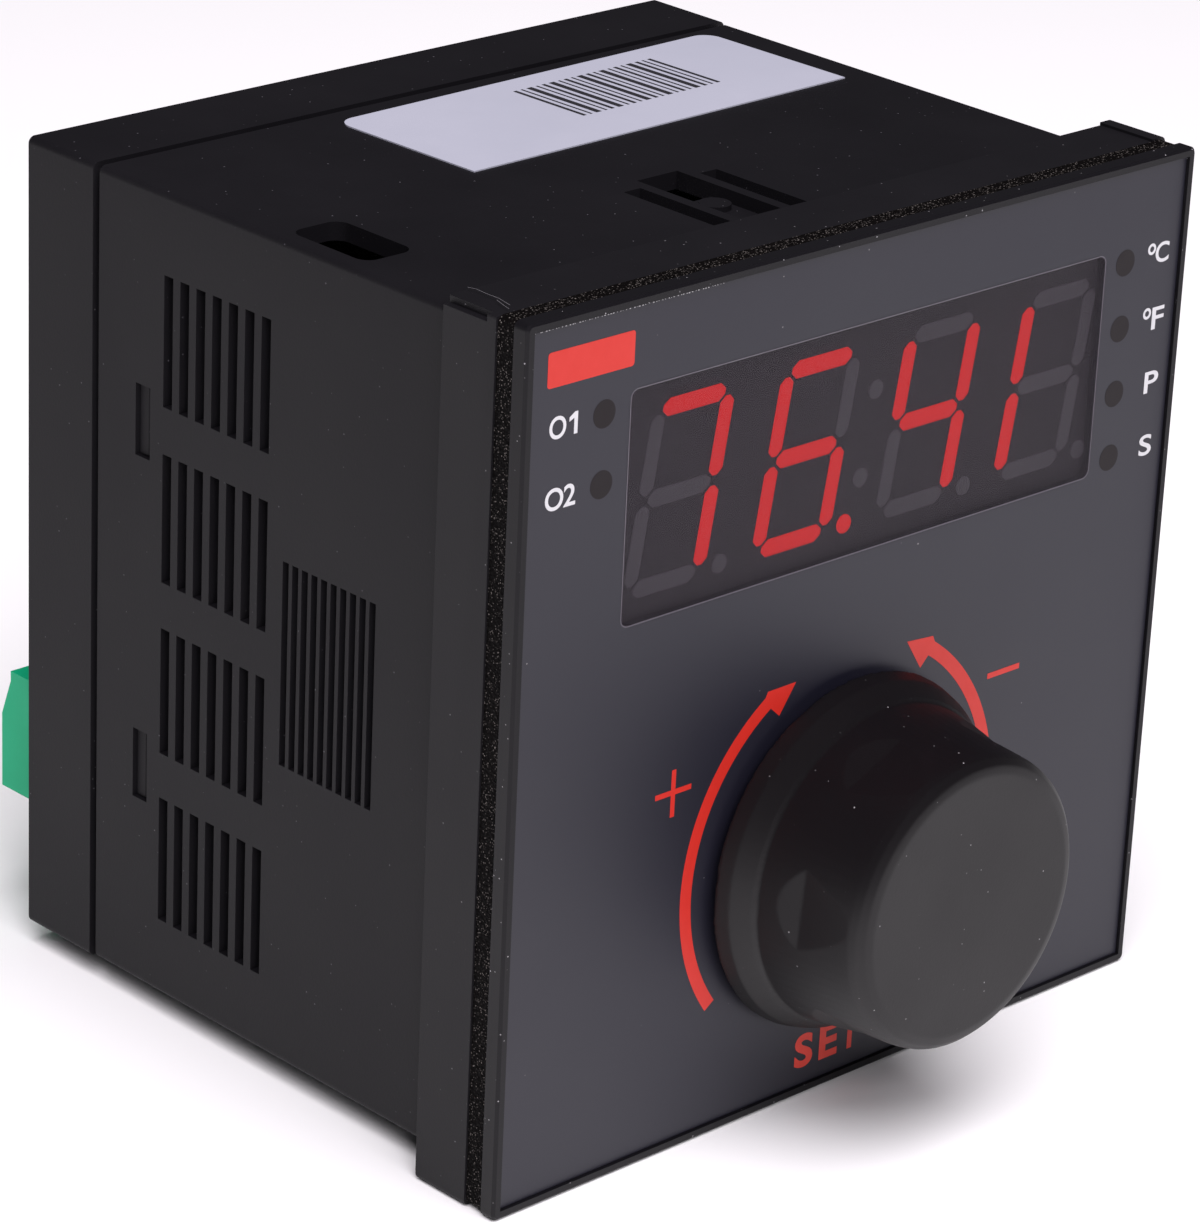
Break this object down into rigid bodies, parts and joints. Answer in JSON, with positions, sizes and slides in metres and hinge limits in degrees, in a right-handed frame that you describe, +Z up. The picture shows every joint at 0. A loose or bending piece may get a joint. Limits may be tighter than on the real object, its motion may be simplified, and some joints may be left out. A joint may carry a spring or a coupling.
{
  "type": "temperature controller",
  "caption": "Square panel-mount temperature controller with a digital display, push-and-turn knob with thumb flats, vented case, clamping collar and plug-in rear terminals.",
  "frame": {"origin": "centre of the panel cut-out, in the plane of the panel's front face where the gasket seals", "axes": "+X to the right seen from the front, +Y backwards into the panel, +Z up"},
  "size_m": [0.096, 0.1107, 0.096],
  "materials": {
    "body_black": "black moulded plastic, fine spark-eroded texture",
    "knob_black": "black moulded plastic, satin",
    "overlay_film": "dark grey printed polyester film, fine texture",
    "window_lens": "smoked clear acrylic",
    "display_face": "dark grey face of the display block",
    "segments_red": "red light-emitting segments under clear resin",
    "light_pipe": "clear acrylic",
    "diode_white": "surface-mounted diode, white body with yellow resin",
    "board_green": "solder-masked circuit board",
    "chip_black": "black moulded resin",
    "encoder_resin": "black moulded resin",
    "bare_metal": "plain turned or stamped steel",
    "plunger_white": "natural acetal",
    "gasket_foam": "closed-cell foam",
    "label_face": "blank vinyl label",
    "relay_black": "black moulded cover",
    "ferrite": "ferrite core",
    "winding_tape": "yellow insulating tape over the winding",
    "capacitor_sleeve": "shrunk sleeve over an aluminium can",
    "terminal_green": "green polyamide",
    "tinned_brass": "tinned brass"
  },
  "bodies": {
    "case": {"front_bezel": "body_black", "front_overlay": "overlay_film", "display_window": "window_lens", "display_module": "display_face", "display_segments": "segments_red", "light_pipes": "light_pipe", "indicator_diodes": "diode_white", "front_board": "board_green", "controller_chip": "chip_black", "board_link": "chip_black", "encoder_body": "encoder_resin", "encoder_bushing": "bare_metal", "encoder_washer": "bare_metal", "encoder_nut": "bare_metal", "switch_dome": "bare_metal", "panel_gasket": "gasket_foam", "main_case": "body_black", "rear_cap": "body_black", "rating_label": "label_face", "main_board": "board_green", "output_relays": "relay_black", "transformer_core": "ferrite", "transformer_winding": "winding_tape", "filter_capacitors": "capacitor_sleeve", "terminal_header_left": "terminal_green", "terminal_header_right": "terminal_green", "header_pins_left": "tinned_brass", "header_pins_right": "tinned_brass"},
    "plunger": {"switch_plunger": "plunger_white"},
    "dial": {"control_knob": "knob_black", "encoder_shaft": "bare_metal"},
    "collar": {"mounting_collar": "body_black"},
    "plug_left": {"terminal_plug_left": "terminal_green", "plug_clamps_left": "tinned_brass"},
    "plug_right": {"terminal_plug_right": "terminal_green", "plug_clamps_right": "tinned_brass"}
  },
  "joints": [
    {"name": "knob_push", "type": "slide", "parent": "case", "child": "plunger", "axis": [0, 1, 0], "range_m": [0, 0.0005], "stiffness_N_per_m": 4000},
    {"name": "knob_turn", "type": "hinge", "parent": "plunger", "child": "dial", "pos_m": [0, -0.014, -0.0199], "axis": [0, 1, 0], "continuous": true},
    {"name": "collar_slide", "type": "slide", "parent": "case", "child": "collar", "axis": [0, 1, 0], "range_m": [0, 0.064]},
    {"name": "plug_left_slide", "type": "slide", "parent": "case", "child": "plug_left", "axis": [0, 1, 0], "range_m": [0, 0.01]},
    {"name": "plug_right_slide", "type": "slide", "parent": "case", "child": "plug_right", "axis": [0, 1, 0], "range_m": [0, 0.01]}
  ]
}
